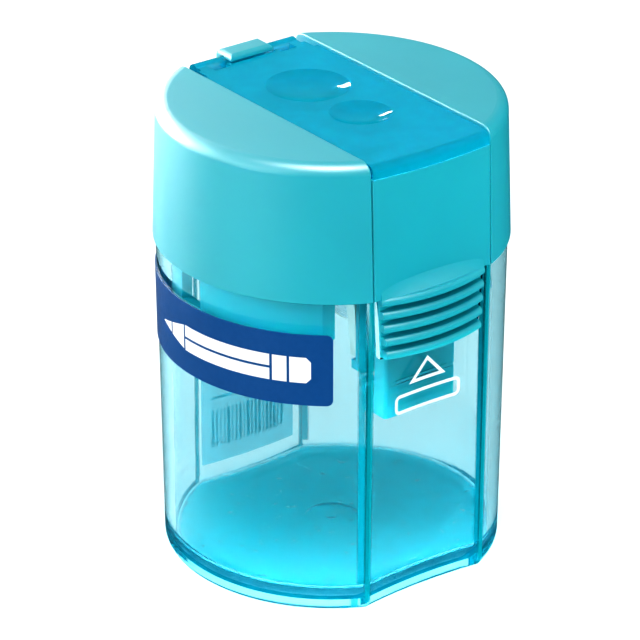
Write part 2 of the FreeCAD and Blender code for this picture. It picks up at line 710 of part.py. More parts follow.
def main():
    os.makedirs("parts", exist_ok=True)
    nodes = {
        "tub": tub(),
        "side_label": side_label(),
        "back_label": back_label(),
        "cap_shell": cap_shell(),
        "carrier": carrier(),
        "lid": lid(),
        "press_tongue": press_tongue(),
        "sharpener_block": sharpener_block(),
    }
    for name in HOLES:
        nodes["blade_" + name] = blade(name)
        nodes["blade_screw_" + name] = blade_screw(name)
    for name, shape in nodes.items():
        shape.exportStep(f"parts/{name}.step")
        print(name, len(shape.Solids), "solid", round(shape.Volume, 1), "mm3", "valid", shape.isValid())


main()
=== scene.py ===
import math

import bmesh
import bpy
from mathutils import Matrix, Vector
from mathutils.bvhtree import BVHTree


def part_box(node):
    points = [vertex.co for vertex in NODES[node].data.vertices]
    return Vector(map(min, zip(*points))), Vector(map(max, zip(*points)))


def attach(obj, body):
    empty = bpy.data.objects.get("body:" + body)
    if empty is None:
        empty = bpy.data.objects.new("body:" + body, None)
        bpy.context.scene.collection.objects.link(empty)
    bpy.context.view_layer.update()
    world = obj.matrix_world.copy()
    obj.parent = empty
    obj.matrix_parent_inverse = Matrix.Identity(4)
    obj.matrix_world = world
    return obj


bl_info = {
    "name": "Tub Pencil Sharpener",
    "version": (1, 0, 0),
    "blender": (4, 5, 0),
    "location": "3D View > Sidebar > Sharpener",
    "description": "Finishes, prints and studio stage for a two-hole pencil sharpener with a shavings tub",
    "category": "Object",
}

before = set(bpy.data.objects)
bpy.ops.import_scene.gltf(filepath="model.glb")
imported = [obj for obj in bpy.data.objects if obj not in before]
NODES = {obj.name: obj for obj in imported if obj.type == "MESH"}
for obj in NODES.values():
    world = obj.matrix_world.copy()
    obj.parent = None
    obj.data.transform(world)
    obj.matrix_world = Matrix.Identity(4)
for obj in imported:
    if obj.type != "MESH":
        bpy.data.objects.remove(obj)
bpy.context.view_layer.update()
TUB_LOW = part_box("tub")[0]
SIDE_LABEL_LOW, SIDE_LABEL_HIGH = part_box("side_label")
BACK_LABEL_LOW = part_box("back_label")[0]

MM = 0.001
FLOOR_TOP = 2.6 * MM            # top of the tub's floor
PANEL_EDGE = 8.9 * MM           # middle plane to the tub's upright corners
LATCH_TOP = 34.7 * MM           # below this the press tongue is only its thin latch

LABEL_SLICE = 0.8 * MM          # width of the flat strips that follow a label
FRONT_SLICE = 0.9 * MM          # width of the flat strips that follow the tub's front
PENCIL_GAP = 0.34 * MM          # bare line between the parts of the printed pencil
ERASER_CORNER = 0.6 * MM
MARK_CORNER = 0.3               # corner radius of the front bar as a share of its height
CORNER_STEPS = 6

BAR_SEED = 7
BAR_WIDTHS = (0.22, 0.78)       # thinnest and widest bar as a share of the pitch
LABEL_MARGIN = 2.2 * MM         # back label's lower edge to its bars
RULE_COUNT = 6
RULE_GAP = 1.6 * MM             # bars to the lowest rule
RULE_PITCH = 2.4 * MM
RULE_LINE = 0.35 * MM
RULE_REACH = 5.9 * MM           # middle plane to the end of a full rule
SHORT_REACH = 4.6 * MM          # middle plane to the end of a short rule

FRONT, BACK = -1, 1             # which side of the tub a film lies on, along Y
OUTER = -1.0                    # y that flags a film's outer layer before it is laid
WELL_OUTSIDE = 0.1              # distance that is clear of the whole sharpener
UP = Vector((0.0, 0.0, 1.0))
WHITE = (1.0, 1.0, 1.0, 1.0)
FLOOR_REACH = 3.0
LIGHT_ONLY = ("glossy", "transmission")     # rays that miss a card which only lights
GLOSS_ONLY = ("diffuse", "transmission")    # rays that miss a card which only shows in gloss


# ---------------------------------------------------------------- settings

def colour_property(name, description, default):
    """Setting for a colour."""
    return bpy.props.FloatVectorProperty(name=name, description=description, default=default, size=3,
                                         subtype="COLOR", min=0.0, max=1.0)


def length_property(name, description, default):
    """Setting for a length in metres."""
    return bpy.props.FloatProperty(name=name, description=description, default=default, unit="LENGTH",
                                   min=0.0, precision=5)


def angle_property(name, description, degrees):
    """Setting for an angle, with its default in degrees."""
    return bpy.props.FloatProperty(name=name, description=description, default=math.radians(degrees),
                                   subtype="ANGLE")


def plain_property(name, description, default):
    """Setting for a number that has no unit here, such as a light's power."""
    return bpy.props.FloatProperty(name=name, description=description, default=default)


class SHARPENER_PG_colours(bpy.types.PropertyGroup):
    """Colours of the mouldings, labels and print"""

    cap: colour_property("Cap", "Pearly teal of the cap and the press tongue", (0.0, 0.41, 0.49))
    cap_shade: colour_property("Cap shade", "Darker tone that the teal drifts towards", (0.0, 0.37, 0.45))
    # Carrier: the moulding's own teal, set brighter than the cap as painted light for the dim light inside
    # the head.
    carrier: colour_property("Carrier", "Brighter teal of the moulding inside the head", (0.0, 0.50, 0.58))
    # Latch: painted light, a lighter teal that stands in for light the latch lacks in its shade under the
    # ribs.
    latch: colour_property("Latch", "Lighter teal of the thin latch under the ribs", (0.0, 0.60, 0.68))
    tub_absorb: colour_property("Tub tint", "What a thick stretch of it lets through", (0.15, 0.79, 0.88))
    # Tub body: the haze's own colour; along the upright corners it also carries a painted glow.
    tub_body: colour_property("Tub body", "Colour that the tub's haze and edges glow in", (0.0, 0.32, 0.38))
    lid_absorb: colour_property("Lid tint", "What a thick stretch of it lets through", (0.0, 0.72, 0.90))
    lid_body: colour_property("Lid body", "Colour that the lid's haze glows in", (0.0, 0.40, 0.50))
    label_blue: colour_property("Label blue", "Ground colour of the side label", (0.002, 0.082, 0.26))
    label_pale: colour_property("Label film", "Film of the back label", (0.25, 0.72, 0.82))
    ink_white: colour_property("White ink", "Print on the tub and the side label", (0.82, 0.86, 0.87))
    ink_grey: colour_property("Grey ink", "Bars and rules on the back label", (0.08, 0.36, 0.44))
    wedge: colour_property("Wedge metal", "Die-cast metal of the two-hole wedge", (0.80, 0.79, 0.74))
    blade: colour_property("Blade steel", "Ground steel of the blades", (0.62, 0.64, 0.66))
    screw: colour_property("Screw steel", "Plated steel of the blade screws", (0.72, 0.71, 0.68))
    floor: colour_property("Floor", "Pale floor", (0.82, 0.825, 0.83))


class SHARPENER_PG_sizes(bpy.types.PropertyGroup):
    """Sizes of the printed marks"""

    ink_lift: length_property("Ink lift", "Clearance of the print over its ground", 0.015 * MM)
    ink_thickness: length_property("Ink thickness", "Thickness of the printed film", 0.03 * MM)
    bar_mark_height: length_property("Front bar height", "Height of the outlined bar on the front", 2.6 * MM)
    bar_mark_width: length_property("Front bar width", "Length of the outlined bar on the front", 10.0 * MM)
    bar_mark_foot: length_property("Front bar foot", "Height of its lower edge over the table", 25.6 * MM)
    triangle_foot: length_property("Triangle foot", "Height of its base over the table", 29.25 * MM)
    triangle_height: length_property("Triangle height", "Height of the outlined triangle", 3.1 * MM)
    triangle_half_width: length_property("Triangle half width", "Half of the triangle's base", 2.8 * MM)
    mark_line: length_property("Mark line", "Width of the front marks' lines", 0.42 * MM)
    mark_shift: length_property("Mark shift", "How far right of the axis the front marks sit", 0.1 * MM)
    pencil_length: length_property("Pencil length", "Length of the pencil on the side label", 24.0 * MM)
    pencil_width: length_property("Pencil width", "Width of the pencil on the side label", 3.4 * MM)
    pencil_shift: length_property("Pencil shift", "How far it sits towards the front", 5.6 * MM)
    bar_pitch: length_property("Bar pitch", "Distance between bars on the back label", 0.62 * MM)
    bar_height: length_property("Bar height", "Length of the bars on the back label", 5.2 * MM)
    bar_count: bpy.props.IntProperty(name="Bar count", description="Bars on the back label",
                                     default=19, min=1)


class SHARPENER_PG_stage(bpy.types.PropertyGroup):
    """Camera and lights"""

    azimuth: angle_property("Azimuth", "Camera's bearing from the front", -37.27)
    elevation: angle_property("Elevation", "Camera's height angle", 26.11)
    distance: length_property("Distance", "Camera to the middle of the sharpener", 0.504)
    aim_height: length_property("Aim height", "Height of the point that the camera circles", 29.65 * MM)
    aim_left: length_property("Aim left", "How far left of the axis the camera points", 1.42 * MM)
    lens: plain_property("Lens", "Focal length in millimetres", 228.2)
    fill: plain_property("Fill", "Strength of the pale surround", 0.75)
    sheen: plain_property("Sheen", "Strength of the surround in reflections", 0.55)
    side_light: plain_property("Side light", "Power of the left soft box", 0.1)
    top_light: plain_property("Top light", "Power of the overhead soft box", 0.25)
    rim_light: plain_property("Rim light", "Power of the right strip light", 0.2)
    front_light: plain_property("Front light", "Power of the low front card, which only lights", 0.9)
    sheen_light: plain_property("Sheen card", "Power of the gloss card at the camera's left", 11.0)
    side_card: plain_property("Side card", "Power of the gloss card at the cap's left", 2.4)
    sparkle_light: plain_property("Sparkle card", "Power of the small gloss card behind", 0.22)
    rim_card: plain_property("Rim card", "Power of the gloss card over the cap's round edge", 12.0)


# ---------------------------------------------------------------- materials

class NodeMaker:
    """Short calls for building the node tree of a material or a world."""

    def __init__(self, owner, output):
        owner.use_nodes = True
        self.owner = owner
        self.tree = owner.node_tree
        self.tree.nodes.clear()
        self.output = self.tree.nodes.new(output)

    def node(self, kind, sockets=None, **settings):
        """New node with its settings made, and its input sockets linked or set."""
        made = self.tree.nodes.new(kind)
        for key, value in settings.items():
            setattr(made, key, value)
        for socket, value in (sockets or {}).items():
            if isinstance(value, bpy.types.NodeSocket):
                self.tree.links.new(value, made.inputs[socket])
            else:
                made.inputs[socket].default_value = value
        return made

    def object_coordinates(self, stretch=(1.0, 1.0, 1.0)):
        """Place on the piece, stretched along its axes."""
        place = self.node("ShaderNodeTexCoord").outputs["Object"]
        return self.node("ShaderNodeMapping", {"Vector": place, "Scale": stretch}).outputs["Vector"]

    def split(self, vector):
        """X, Y and Z of a vector."""
        return self.node("ShaderNodeSeparateXYZ", {"Vector": vector}).outputs

    def levelness(self):
        """1 where a face is level, 0 where it is upright."""
        facing = self.node("ShaderNodeTexCoord").outputs["Normal"]
        return self.maths("ABSOLUTE", self.split(facing)["Z"])

    def noise(self, vector, scale, detail=3.0, roughness=0.5):
        """Soft noise from 0 to 1."""
        sockets = {"Vector": vector, "Scale": scale, "Detail": detail, "Roughness": roughness}
        return self.node("ShaderNodeTexNoise", sockets).outputs["Fac"]

    def spread(self, source, low, high, from_low=0.3, from_high=0.7):
        """Number that runs from low to high as source runs over its usual range."""
        sockets = {"Value": source, "From Min": from_low, "From Max": from_high,
                   "To Min": low, "To Max": high}
        return self.node("ShaderNodeMapRange", sockets).outputs["Result"]

    def maths(self, operation, first, second=0.0):
        """Result of a sum on one or two numbers."""
        return self.node("ShaderNodeMath", {0: first, 1: second}, operation=operation).outputs["Value"]

    def ramp(self, source, stops):
        """Colour that follows source through (place, colour) stops."""
        node = self.node("ShaderNodeValToRGB", {"Fac": source})
        elements = node.color_ramp.elements
        while len(elements) < len(stops):
            elements.new(0.5)
        for element, (place, colour) in zip(elements, stops):
            element.position = place
            element.color = (*colour, 1.0)
        return node.outputs["Color"]

    def mix(self, kind, share, first, second):
        """Mix of two numbers (FLOAT) or two colours (RGBA)."""
        a, b, result = {"FLOAT": (2, 3, 0), "RGBA": (6, 7, 2)}[kind]
        sockets = {"Factor": share, a: first, b: second}
        return self.node("ShaderNodeMix", sockets, data_type=kind).outputs[result]

    def mix_shaders(self, share, first, second):
        """Mix of two shaders."""
        return self.node("ShaderNodeMixShader", {"Fac": share, 1: first, 2: second}).outputs["Shader"]

    def bump(self, source, distance, strength=1.0):
        """Surface direction over small bumps."""
        sockets = {"Height": source, "Distance": distance, "Strength": strength}
        return self.node("ShaderNodeBump", sockets).outputs["Normal"]

    def principled(self, **sockets):
        """Principled shader; an underscore in a socket's name stands for a space."""
        named = {key.replace("_", " "): value for key, value in sockets.items()}
        return self.node("ShaderNodeBsdfPrincipled", named).outputs["BSDF"]

    def finish(self, surface, volume=None):
        """Plugs the tree into its output and gives back the material or world."""
        self.tree.links.new(surface, self.output.inputs["Surface"])
        if volume:
            self.tree.links.new(volume, self.output.inputs["Volume"])
        return self.owner


def new_material(name):
    """Node maker for a new material."""
    return NodeMaker(bpy.data.materials.new(name), "ShaderNodeOutputMaterial")


def darker(colour, share):
    """The colour at a share of its brightness."""
    return tuple(channel * share for channel in colour)


def moulded_plastic(name, colour, shade, roughness, grain, thin=None):
    """Opaque moulded plastic with a pearly satin skin: drifting tone, faint flow streaks and a fine grain.

    thin is (height, colour): below that height the tone turns to that lighter colour, a painted light that
    lifts the shaded latch under the ribs.
    """
    m = new_material(name)
    where = m.object_coordinates()
    streaks = m.noise(m.object_coordinates((1.0, 1.0, 0.12)), scale=240.0)
    tone = m.ramp(m.noise(where, scale=60.0, detail=2.0), [(0.25, shade), (0.7, colour)])
    # Painted light: below the height the tone turns to the lighter colour.
    if thin:
        height, painted_light_colour = thin
        edge = 0.5 * MM
        below = m.spread(m.split(where)["Z"], 1.0, 0.0, height - edge, height + edge)
        tone = m.mix("RGBA", below, tone, (*painted_light_colour, 1.0))
    return m.finish(m.principled(
        Base_Color=tone,
        Roughness=m.spread(streaks, roughness - 0.04, roughness + 0.05),
        Normal=m.bump(m.noise(where, scale=5200.0, detail=2.0, roughness=0.6), grain),
        Coat_Weight=0.7,
        Coat_Roughness=0.48,
        Specular_IOR_Level=0.05,
        Subsurface_Weight=0.35,
        Subsurface_Scale=0.0012,
    ))


def hazier_floor(m, where, share, height, floor_haze):
    """Raises the share of haze on level faces below a height, so that the tub's floor shows more of the body
    colour, with a speckle.
    """
    level = m.spread(m.levelness(), 0.0, 1.0, 0.6, 0.9)
    low = m.spread(m.split(where)["Z"], 1.0, 0.0, height, height + 0.6 * MM)
    speckle = m.spread(m.noise(where, scale=700.0, detail=6.0, roughness=0.7), floor_haze * 0.8, floor_haze * 1.1)
    return m.mix("FLOAT", m.maths("MULTIPLY", level, low), share, speckle)


def painted_corner_glow(m, where, share, reach, width, glow):
    """Raises the share of haze along the upright corners, a reach either side of the middle: a painted glow
    that stands in for light gathering in them.
    """
    upright = m.spread(m.levelness(), 1.0, 0.0, 0.1, 0.4)
    aside = m.maths("ABSOLUTE", m.split(where)["X"])
    off = m.maths("ABSOLUTE", m.maths("SUBTRACT", aside, reach))
    lit = m.maths("MULTIPLY", upright, m.spread(off, glow, 0.0, 0.4 * width, width))
    return m.maths("MAXIMUM", share, lit)


def clear_plastic(name, tint, density, body, haze, lamp_tint, roughness, gloss, floor=None, corners=None):
    """Tinted clear plastic: its tint deepens with thickness, and a haze of its body colour glows in it.

    lamp_tint is the colour of its shadow. floor is (height, haze) for hazier_floor, and corners is (reach,
    width, haze) for painted_corner_glow, which paints a glow along upright corners.
    """
    m = new_material(name)
    where = m.object_coordinates()
    glass = m.principled(
        Base_Color=WHITE,
        Roughness=m.spread(m.noise(where, scale=900.0), roughness * 0.5, roughness * 1.6),
        Normal=m.bump(m.noise(where, scale=90.0, detail=2.0), 0.03 * MM, 0.6),
        Transmission_Weight=1.0,
        IOR=1.49,
        Specular_IOR_Level=gloss,
    )
    cloud = m.principled(
        Base_Color=m.ramp(m.noise(where, scale=160.0), [(0.3, darker(body, 0.96)), (0.7, body)]),
        Roughness=0.6,
        Specular_IOR_Level=0.0,
    )
    share = m.spread(m.noise(where, scale=420.0), haze * 0.96, haze * 1.04)
    if floor:
        share = hazier_floor(m, where, share, *floor)
    # Painted glow along upright corners.
    if corners:
        share = painted_corner_glow(m, where, share, *corners)
    hazy = m.mix_shaders(share, glass, cloud)
    shadow = m.node("ShaderNodeBsdfTransparent", {"Color": (*lamp_tint, 1.0)}).outputs["BSDF"]
    in_shadow = m.node("ShaderNodeLightPath").outputs["Is Shadow Ray"]
    depth = m.node("ShaderNodeVolumeAbsorption", {"Color": (*tint, 1.0), "Density": density})
    return m.finish(m.mix_shaders(in_shadow, hazy, shadow), depth.outputs["Volume"])


def worked_metal(name, colour, roughness, stretch, scale, depth, anisotropic):
    """Metal with tool or casting marks: stretch sets the direction and scale the fineness of the marks."""
    m = new_material(name)
    marks = m.noise(m.object_coordinates(stretch), scale, detail=4.0, roughness=0.6)
    stain = m.noise(m.object_coordinates(), scale=160.0)
    return m.finish(m.principled(
        Base_Color=m.ramp(stain, [(0.3, darker(colour, 0.72)), (0.62, colour)]),
        Roughness=m.spread(marks, roughness - 0.08, roughness + 0.12),
        Normal=m.bump(marks, depth, 0.7),
        Metallic=1.0,
        Anisotropic=anisotropic,
    ))


def printed_film(name, colour, roughness, see_through=0.0):
    """Thin printed film: faint ink mottle under a gloss coat, with tiny ripples from the wall beneath."""
    m = new_material(name)
    where = m.object_coordinates()
    mottle = m.noise(where, scale=1400.0)
    return m.finish(m.principled(
        Base_Color=m.ramp(mottle, [(0.3, darker(colour, 0.94)), (0.6, colour)]),
        Roughness=m.spread(mottle, roughness, roughness + 0.08),
        Normal=m.bump(m.noise(where, scale=300.0, detail=2.0), 0.02 * MM, 0.5),
        Specular_IOR_Level=0.2,
        Coat_Weight=0.12,
        Coat_Roughness=0.08,
        Alpha=1.0 - see_through,
    ))


def finish_node(node, material):
    """Gives a CAD node its finish; its mesh stays as it is."""
    mesh = NODES[node].data
    if not mesh.materials:
        mesh.materials.append(material)
    for index in range(len(mesh.materials)):
        mesh.materials[index] = material


# ---------------------------------------------------------------- printed films

def ground_of(node):
    """Search tree of a CAD node's surface."""
    mesh = NODES[node].data
    return BVHTree.FromPolygons([v.co for v in mesh.vertices], [p.vertices for p in mesh.polygons])


def flat_film(outlines):
    """Bmesh of flat shapes in XZ from closed outlines."""
    bm = bmesh.new()
    for outline in outlines:
        bm.faces.new([bm.verts.new((x, 0.0, z)) for x, z in outline])
    return bm


def slice_up(bm, step):
    """Cuts flat faces every step along X, so that they can follow a curved ground."""
    places = [vert.co.x for vert in bm.verts]
    place = math.floor(min(places) / step) * step + step
    while place < max(places):
        bmesh.ops.bisect_plane(bm, geom=bm.verts[:] + bm.edges[:] + bm.faces[:], dist=1e-7,
                               plane_co=(place, 0.0, 0.0), plane_no=(1.0, 0.0, 0.0))
        place += step


def thicken(bm):
    """Closes flat faces in XZ into a thin film with its outer layer flagged."""
    bmesh.ops.remove_doubles(bm, verts=bm.verts, dist=1e-7)
    made = bmesh.ops.extrude_face_region(bm, geom=list(bm.faces), use_keep_orig=True)
    for item in made["geom"]:
        if isinstance(item, bmesh.types.BMVert):
            item.co.y = OUTER
    bmesh.ops.recalc_face_normals(bm, faces=bm.faces)


def height_over_ground(vert, sizes):
    """How far a vertex of a flagged film stands off its ground."""
    if vert.co.y < OUTER / 2:
        return sizes.ink_lift + sizes.ink_thickness
    return sizes.ink_lift


def lay_flat(bm, ground, side, sizes):
    """Lays a flagged film on the front or the back of a ground surface."""
    for vert in bm.verts:
        lift = height_over_ground(vert, sizes)
        start = Vector((vert.co.x, side * WELL_OUTSIDE, vert.co.z))
        hit = ground.ray_cast(start, Vector((0, -side, 0)))[0]
        vert.co.y = hit.y + side * lift


def lay_round(bm, ground, centre_angle, radius, sizes):
    """Wraps a flagged film round a ground surface: x in the film runs along the arc, seen from outside."""
    for vert in bm.verts:
        lift = height_over_ground(vert, sizes)
        angle = centre_angle + vert.co.x / radius
        way = Vector((math.cos(angle), math.sin(angle), 0))
        level = UP * vert.co.z
        hit = ground.ray_cast(way * WELL_OUTSIDE + level, -way)[0]
        vert.co = way * (math.hypot(hit.x, hit.y) + lift) + level


def add_print(name, bm, material):
    """Turns a laid film into a finished piece that rides on the tub."""
    mesh = bpy.data.meshes.new(name)
    bm.to_mesh(mesh)
    bm.free()
    mesh.materials.append(material)
    piece = bpy.data.objects.new(name, mesh)
    bpy.context.scene.collection.objects.link(piece)
    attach(piece, "tub")


def pencil_outlines(length, width):
    """Outlines of a plain pencil lying along X: tip, wood, barrel in two facets, band and eraser."""
    half = width / 2
    point = -length / 2
    end = length / 2
    tip = point + 0.11 * length
    wood = point + 0.24 * length
    band = end - 0.20 * length
    eraser = end - 0.11 * length
    ridge = PENCIL_GAP / 2

    def rise(place):
        return half * (place - point) / (wood - point)

    tip_end, wood_end = tip - PENCIL_GAP, wood - PENCIL_GAP
    barrel_end, band_end = band - PENCIL_GAP, eraser - PENCIL_GAP
    return [
        [(point, 0.0), (tip_end, -rise(tip_end)), (tip_end, rise(tip_end))],
        [(tip, -rise(tip)), (wood_end, -rise(wood_end)), (wood_end, rise(wood_end)), (tip, rise(tip))],
        [(wood, ridge), (barrel_end, ridge), (barrel_end, half), (wood, half)],
        [(wood, -half), (barrel_end, -half), (barrel_end, -ridge), (wood, -ridge)],
        [(band, -half), (band_end, -half), (band_end, half), (band, half)],
        [(eraser, -half), (end - ERASER_CORNER, -half), (end, -half + ERASER_CORNER),
         (end, half - ERASER_CORNER), (end - ERASER_CORNER, half), (eraser, half)],
    ]


def rule_outlines(foot):
    """Outlines of level rules stacked up from a height, the first of every three shorter."""
    rules = []
    for step in range(RULE_COUNT):
        low = foot + RULE_GAP + RULE_PITCH * step
        high = low + RULE_LINE
        reach = RULE_REACH if step % 3 else SHORT_REACH
        rules.append([(-RULE_REACH, low), (reach, low), (reach, high), (-RULE_REACH, high)])
    return rules


def triangle_outlines(half, height, line):
    """Outline of a triangle standing on its base, as three mitred strips."""
    outer = [Vector((-half, 0.0)), Vector((half, 0.0)), Vector((0.0, height))]
    sides = [(outer[(i + 1) % 3] - outer[i]).length for i in range(3)]
    inner_radius = 2 * half * height / sum(sides)
    centre = sum((outer[i] * sides[(i + 1) % 3] for i in range(3)), Vector((0.0, 0.0))) / sum(sides)
    share = 1 - line / inner_radius
    inner = [centre + (corner - centre) * share for corner in outer]
    return [[outer[i], outer[(i + 1) % 3], inner[(i + 1) % 3], inner[i]] for i in range(3)]


def bar_outlines(half, height, line):
    """Outline of a bar with round corners standing on its long side, as a ring of quads."""
    corner = MARK_CORNER * height

    def ring(inset):
        radius = corner - inset
        points = []
        for turn in range(4):
            x = half - corner if turn in (0, 3) else corner - half
            z = height - corner if turn in (0, 1) else corner
            for step in range(CORNER_STEPS + 1):
                angle = math.pi / 2 * (turn + step / CORNER_STEPS)
                points.append((x + radius * math.cos(angle), z + radius * math.sin(angle)))
        return points

    outer, inner = ring(0.0), ring(line)
    count = len(outer)
    return [[outer[i], outer[(i + 1) % count], inner[(i + 1) % count], inner[i]] for i in range(count)]


def bar_tree(sizes, material):
    """Geometry Nodes tree: a row of upright bars of uneven width along X, as on a stock label."""
    tree = bpy.data.node_groups.new("Label bars", "GeometryNodeTree")
    face = tree.interface
    face.new_socket("Geometry", in_out="OUTPUT", socket_type="NodeSocketGeometry")
    sockets = {}
    for name, kind, value in (("Count", "NodeSocketInt", sizes.bar_count),
                              ("Pitch", "NodeSocketFloat", sizes.bar_pitch),
                              ("Height", "NodeSocketFloat", sizes.bar_height),
                              ("Seed", "NodeSocketInt", BAR_SEED)):
        sockets[name] = face.new_socket(name, in_out="INPUT", socket_type=kind)
        sockets[name].default_value = value
    nodes, links = tree.nodes, tree.links
    given, result = nodes.new("NodeGroupInput"), nodes.new("NodeGroupOutput")
    offset = nodes.new("ShaderNodeCombineXYZ")
    links.new(given.outputs["Pitch"], offset.inputs["X"])
    row = nodes.new("GeometryNodeMeshLine")
    links.new(given.outputs["Count"], row.inputs["Count"])
    links.new(offset.outputs["Vector"], row.inputs["Offset"])
    bar = nodes.new("GeometryNodeMeshGrid")
    bar.inputs["Vertices X"].default_value = 2
    bar.inputs["Vertices Y"].default_value = 2
    links.new(given.outputs["Pitch"], bar.inputs["Size X"])
    links.new(given.outputs["Height"], bar.inputs["Size Y"])
    upright = nodes.new("GeometryNodeTransform")
    upright.inputs["Rotation"].default_value = (math.pi / 2, 0, 0)
    links.new(bar.outputs["Mesh"], upright.inputs["Geometry"])
    uneven = nodes.new("FunctionNodeRandomValue")
    uneven.inputs[2].default_value = BAR_WIDTHS[0]
    uneven.inputs[3].default_value = BAR_WIDTHS[1]
    links.new(given.outputs["Seed"], uneven.inputs["Seed"])
    width = nodes.new("ShaderNodeCombineXYZ")
    width.inputs["Y"].default_value = 1.0
    width.inputs["Z"].default_value = 1.0
    links.new(uneven.outputs[1], width.inputs["X"])
    place = nodes.new("GeometryNodeInstanceOnPoints")
    links.new(row.outputs["Mesh"], place.inputs["Points"])
    links.new(upright.outputs["Geometry"], place.inputs["Instance"])
    links.new(width.outputs["Vector"], place.inputs["Scale"])
    real = nodes.new("GeometryNodeRealizeInstances")
    links.new(place.outputs["Instances"], real.inputs["Geometry"])
    paint = nodes.new("GeometryNodeSetMaterial")
    paint.inputs["Material"].default_value = material
    links.new(real.outputs["Geometry"], paint.inputs["Geometry"])
    links.new(paint.outputs["Geometry"], result.inputs["Geometry"])
    return tree, {name: socket.identifier for name, socket in sockets.items()}


def bar_film(sizes, material):
    """Bmesh of the back label's bars, flat in XZ and starting at the origin."""
    tree, inputs = bar_tree(sizes, material)
    scratch = bpy.data.objects.new("bars", bpy.data.meshes.new("bars"))
    bpy.context.scene.collection.objects.link(scratch)
    rule = scratch.modifiers.new("Bars", "NODES")
    rule.node_group = tree
    rule[inputs["Count"]] = sizes.bar_count
    rule[inputs["Pitch"]] = sizes.bar_pitch
    rule[inputs["Height"]] = sizes.bar_height
    rule[inputs["Seed"]] = BAR_SEED
    graph = bpy.context.evaluated_depsgraph_get()
    mesh = bpy.data.meshes.new_from_object(scratch.evaluated_get(graph), depsgraph=graph)
    bpy.data.objects.remove(scratch)
    bm = bmesh.new()
    bm.from_mesh(mesh)
    bpy.data.meshes.remove(mesh)
    return bm


def join_film(bm, other):
    """Adds another film's faces to bm and frees the other."""
    mesh = bpy.data.meshes.new("film")
    other.to_mesh(mesh)
    other.free()
    bm.from_mesh(mesh)
    bpy.data.meshes.remove(mesh)


# ---------------------------------------------------------------- pieces

class SHARPENER_OT_tub(bpy.types.Operator):
    """Give the shavings tub its clear tinted plastic"""

    bl_idname = "sharpener.tub"
    bl_label = "Tub"

    def execute(self, context):
        colours = context.scene.sharpener_colours
        finish_node("tub", clear_plastic(
            "Tub clear plastic",
            tint=colours.tub_absorb,
            density=160.0,
            body=colours.tub_body,
            haze=0.068,
            lamp_tint=(0.97, 0.992, 0.996),
            roughness=0.02,
            gloss=0.22,
            floor=(FLOOR_TOP, 0.70),
            # Painted glow along the tub's upright corners.
            corners=(PANEL_EDGE, 0.6 * MM, 0.85),
        ))
        return {"FINISHED"}


class SHARPENER_OT_head(bpy.types.Operator):
    """Give the cap, the press tongue and the carrier their moulded plastic"""

    bl_idname = "sharpener.head"
    bl_label = "Cap, tongue and carrier"

    def execute(self, context):
        colours = context.scene.sharpener_colours
        skin = {"colour": colours.cap, "shade": colours.cap_shade, "roughness": 0.34, "grain": 0.006 * MM}
        finish_node("cap_shell", moulded_plastic("Cap pearly plastic", **skin))
        # The carrier's brighter teal is partly painted light for the dim inside of the head.
        finish_node("carrier", moulded_plastic("Carrier plastic", colours.carrier, colours.cap,
                                               roughness=0.42, grain=0.008 * MM))
        # Below LATCH_TOP the tongue gets a lighter teal, painted light for the latch's shade under the ribs.
        finish_node("press_tongue", moulded_plastic("Tongue pearly plastic", **skin,
                                                    thin=(LATCH_TOP, colours.latch)))
        return {"FINISHED"}


class SHARPENER_OT_lid(bpy.types.Operator):
    """Give the lid its deep clear plastic"""

    bl_idname = "sharpener.lid"
    bl_label = "Lid"

    def execute(self, context):
        colours = context.scene.sharpener_colours
        finish_node("lid", clear_plastic(
            "Lid clear plastic",
            tint=colours.lid_absorb,
            density=420.0,
            body=colours.lid_body,
            haze=0.66,
            lamp_tint=(0.55, 0.93, 0.97),
            roughness=0.025,
            gloss=0.08,
        ))
        return {"FINISHED"}


class SHARPENER_OT_cutters(bpy.types.Operator):
    """Give the two-hole wedge, its blades and their screws their metals"""

    bl_idname = "sharpener.cutters"
    bl_label = "Wedge, blades and screws"

    def execute(self, context):
        colours = context.scene.sharpener_colours
        wedge = worked_metal("Wedge cast metal", colours.wedge, roughness=0.42, stretch=(1.0, 1.0, 1.0),
                             scale=900.0, depth=0.02 * MM, anisotropic=0.0)
        blade = worked_metal("Blade ground steel", colours.blade, roughness=0.24, stretch=(1.0, 0.04, 1.0),
                             scale=2600.0, depth=0.004 * MM, anisotropic=0.5)
        screw = worked_metal("Screw plated steel", colours.screw, roughness=0.26, stretch=(1.0, 1.0, 1.0),
                             scale=1800.0, depth=0.006 * MM, anisotropic=0.0)
        finish_node("sharpener_block", wedge)
        for size in ("small", "large"):
            finish_node("blade_" + size, blade)
            finish_node("blade_screw_" + size, screw)
        return {"FINISHED"}


class SHARPENER_OT_side_label(bpy.types.Operator):
    """Finish the blue side label and print a plain pencil on it"""

    bl_idname = "sharpener.side_label"
    bl_label = "Side label"

    def execute(self, context):
        colours, sizes = context.scene.sharpener_colours, context.scene.sharpener_sizes
        finish_node("side_label", printed_film("Label blue film", colours.label_blue, roughness=0.30))
        bm = flat_film(pencil_outlines(sizes.pencil_length, sizes.pencil_width))
        slice_up(bm, LABEL_SLICE)
        middle = (SIDE_LABEL_LOW.z + SIDE_LABEL_HIGH.z) / 2
        bmesh.ops.translate(bm, verts=bm.verts, vec=(sizes.pencil_shift, 0, middle))
        thicken(bm)
        lay_round(bm, ground_of("side_label"), math.pi, -SIDE_LABEL_LOW.x, sizes)
        add_print("side_label_pencil", bm, printed_film("White ink", colours.ink_white, roughness=0.45))
        return {"FINISHED"}


